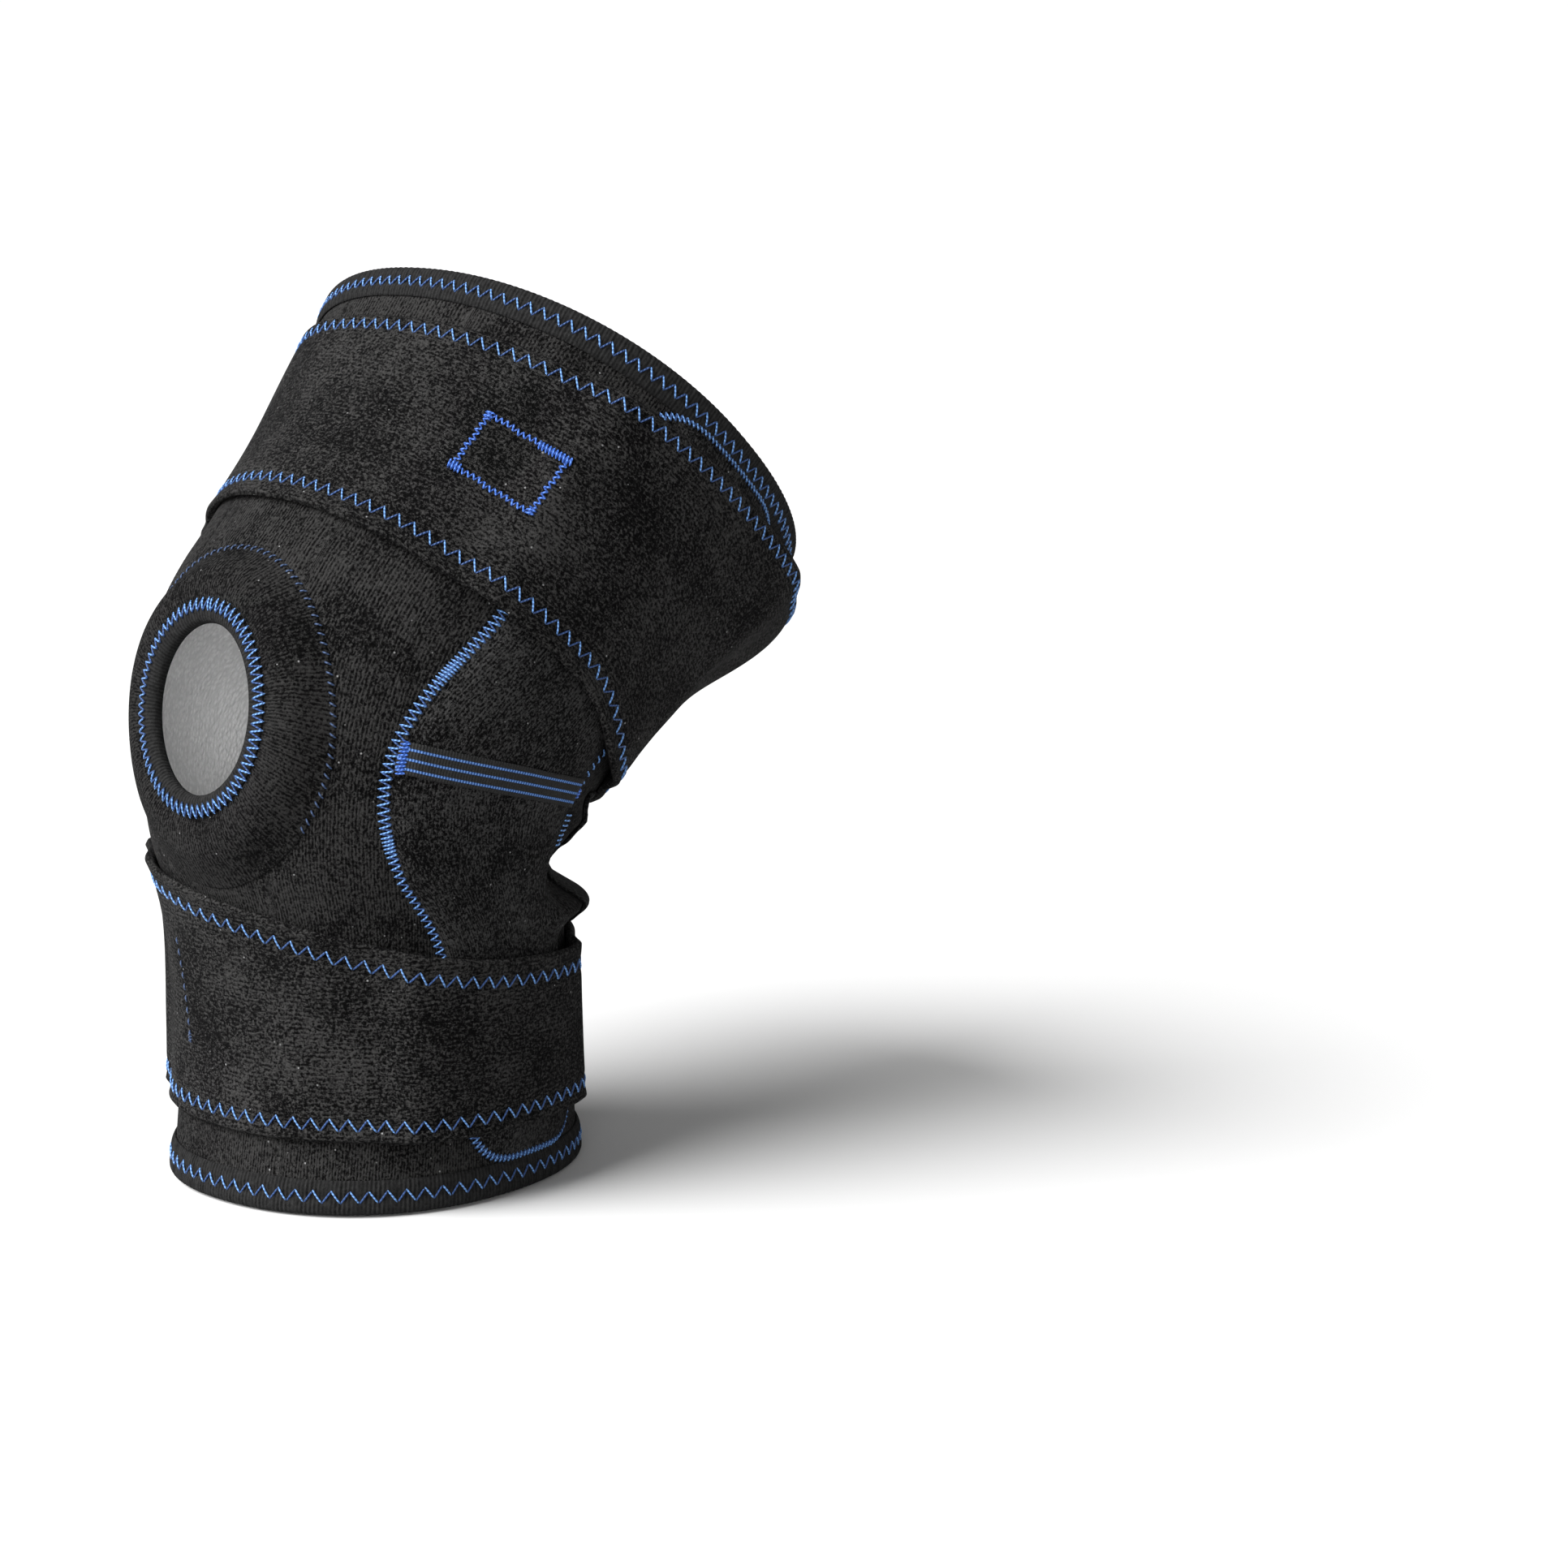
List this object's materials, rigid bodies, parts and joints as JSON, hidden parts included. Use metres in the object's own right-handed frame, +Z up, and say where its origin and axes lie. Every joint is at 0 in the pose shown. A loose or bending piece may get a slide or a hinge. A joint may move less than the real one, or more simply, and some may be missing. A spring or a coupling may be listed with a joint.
{
  "type": "knee brace",
  "caption": "Wrap-strap open-patella knee brace: a bent knitted sleeve with a padded kneecap opening, spring side stays and two closing straps.",
  "frame": {"origin": "middle of the calf opening, in the plane of the lower rim that the brace stands on", "axes": "+Z up the calf, -Y towards the front of the knee, +X towards the outer side of the leg"},
  "size_m": [0.1696, 0.2129, 0.2665],
  "materials": {
    "neoprene_knit": "matt knit-faced neoprene",
    "binding_tape": "matt folded edge tape",
    "silicone_gel": "soft silicone gel",
    "pad_cover": "matt knit over a soft ring pad",
    "panel_cloth": "matt brushed loop cloth",
    "crease_mesh": "thin stretch knit",
    "spring_steel": "brushed",
    "stay_tip": "moulded",
    "striped_webbing": "flat webbing with thin blue stripes",
    "loop_strap": "matt brushed loop cloth",
    "hook_tape": "moulded hook tape",
    "blue_thread": "polyester sewing thread",
    "inner_lining": "pale terry lining"
  },
  "bodies": {
    "calf": {"calf_sleeve": "neoprene_knit", "calf_rim_binding": "binding_tape", "calf_strap": "loop_strap", "stay_tips_calf": "stay_tip", "knee_sleeve": "neoprene_knit", "patella_gel_ring": "silicone_gel", "patella_cover": "pad_cover", "patella_binding": "binding_tape", "side_panel_lateral": "panel_cloth", "side_panel_medial": "panel_cloth", "stay_lateral_front": "spring_steel", "stay_lateral_back": "spring_steel", "stay_medial_front": "spring_steel", "stay_medial_back": "spring_steel", "keeper_band_lateral": "striped_webbing", "keeper_band_medial": "striped_webbing", "popliteal_panel": "crease_mesh"},
    "thigh": {"thigh_sleeve": "neoprene_knit", "thigh_rim_binding": "binding_tape", "thigh_strap": "loop_strap", "stay_tips_thigh": "stay_tip"},
    "calf_tab": {"calf_strap_tab": "loop_strap", "calf_hook_pad": "hook_tape"},
    "thigh_tab": {"thigh_strap_tab": "loop_strap", "thigh_hook_pad": "hook_tape"}
  },
  "joints": [
    {"name": "knee_flexion", "type": "hinge", "parent": "calf", "child": "thigh", "pos_m": [0, -0.012, 0.125], "axis": [-1, 0, 0], "range_deg": [-41, 20], "stiffness_Nm_per_rad": 3, "springref_deg": -1.72, "deforming": ["knee_sleeve", "patella_gel_ring", "patella_cover", "patella_binding", "side_panel_lateral", "side_panel_medial", "stay_lateral_front", "stay_lateral_back", "stay_medial_front", "stay_medial_back", "keeper_band_lateral", "keeper_band_medial", "popliteal_panel"]},
    {"name": "thigh_tab_peel", "type": "hinge", "parent": "thigh", "child": "thigh_tab", "pos_m": [-0.07724, 0.03755, 0.19937], "axis": [-0.1271, 0.6454, 0.7532], "range_deg": [0, 65]},
    {"name": "calf_tab_peel", "type": "hinge", "parent": "calf", "child": "calf_tab", "pos_m": [-0.06142, -0.01627, 0.046], "axis": [-0.0199, 0.0066, 0.9998], "range_deg": [0, 65]}
  ]
}
